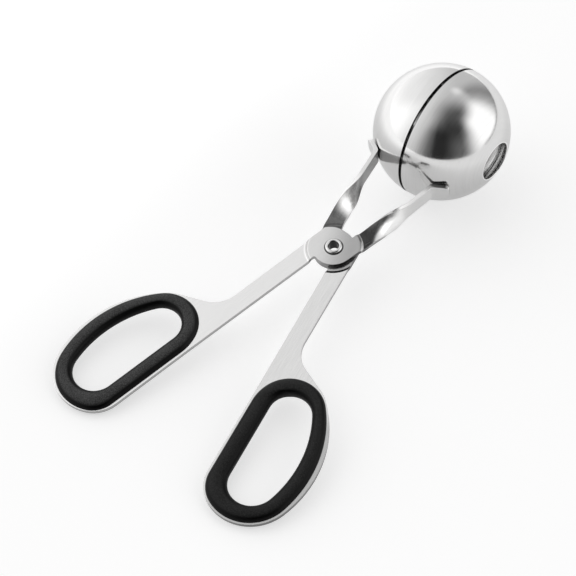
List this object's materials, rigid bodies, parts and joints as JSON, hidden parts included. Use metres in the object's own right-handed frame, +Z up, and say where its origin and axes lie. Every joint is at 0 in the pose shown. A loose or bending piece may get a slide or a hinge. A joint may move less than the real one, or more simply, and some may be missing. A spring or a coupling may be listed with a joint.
{
  "type": "meatball maker",
  "caption": "Scissor tongs whose two half-ball cups close on a round portion of meat, with sheet-steel arms on a hollow rivet and looped grips.",
  "frame": {"origin": "centre of the tongs' footprint on the table they lie on, under the middle of the overall box", "axes": "+Z up from the table; +Y from the finger loops towards the ball, along the tongs; +X towards the right-hand cup and the right-hand grip"},
  "size_m": [0.1046, 0.1938, 0.0516],
  "materials": {
    "arm_steel": "satin, finely brushed stainless sheet",
    "ball_steel": "satin-polished spun stainless steel",
    "grip": "black, semi-matt moulding",
    "rivet_steel": "bright rolled steel"
  },
  "bodies": {
    "upper_half": {"arm_upper": "arm_steel", "cup_right": "ball_steel", "grip_left": "grip", "rivet": "rivet_steel"},
    "lower_half": {"arm_lower": "arm_steel", "cup_left": "ball_steel", "grip_right": "grip"}
  },
  "joints": [
    {"name": "pivot_hinge", "type": "hinge", "parent": "upper_half", "child": "lower_half", "pos_m": [0, 0.00671, 0.0167], "axis": [0, -0.1399, 0.9902], "range_deg": [0, 35]}
  ]
}
